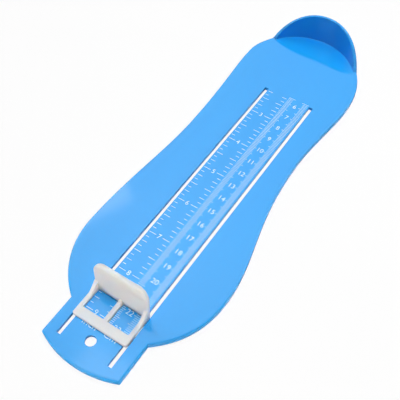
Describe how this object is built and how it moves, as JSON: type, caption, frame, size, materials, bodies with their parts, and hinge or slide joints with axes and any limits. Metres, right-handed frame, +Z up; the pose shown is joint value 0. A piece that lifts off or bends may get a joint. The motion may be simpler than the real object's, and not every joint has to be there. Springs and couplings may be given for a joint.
{
  "type": "foot measuring device",
  "caption": "Foot-shaped measuring plate with an arched heel wall, two long slots, a hanging tab and a windowed toe slider that runs along the slots to read foot length.",
  "frame": {"origin": "middle of the bounding box in X and Y, at the foot of the plate's rim, which is the table surface", "axes": "X across the foot, +Y from the toe tab towards the heel wall, +Z up out of the plate's top face"},
  "size_m": [0.084, 0.257, 0.0233],
  "materials": {
    "blue_abs": "glossy",
    "white_abs": "satin"
  },
  "bodies": {
    "plate": {"measuring_plate": "blue_abs"},
    "slider": {"toe_slider": "white_abs"}
  },
  "joints": [
    {"name": "toe_slide", "type": "slide", "parent": "plate", "child": "slider", "axis": [0, 1, 0], "range_m": [-0.0133, 0.161]}
  ]
}
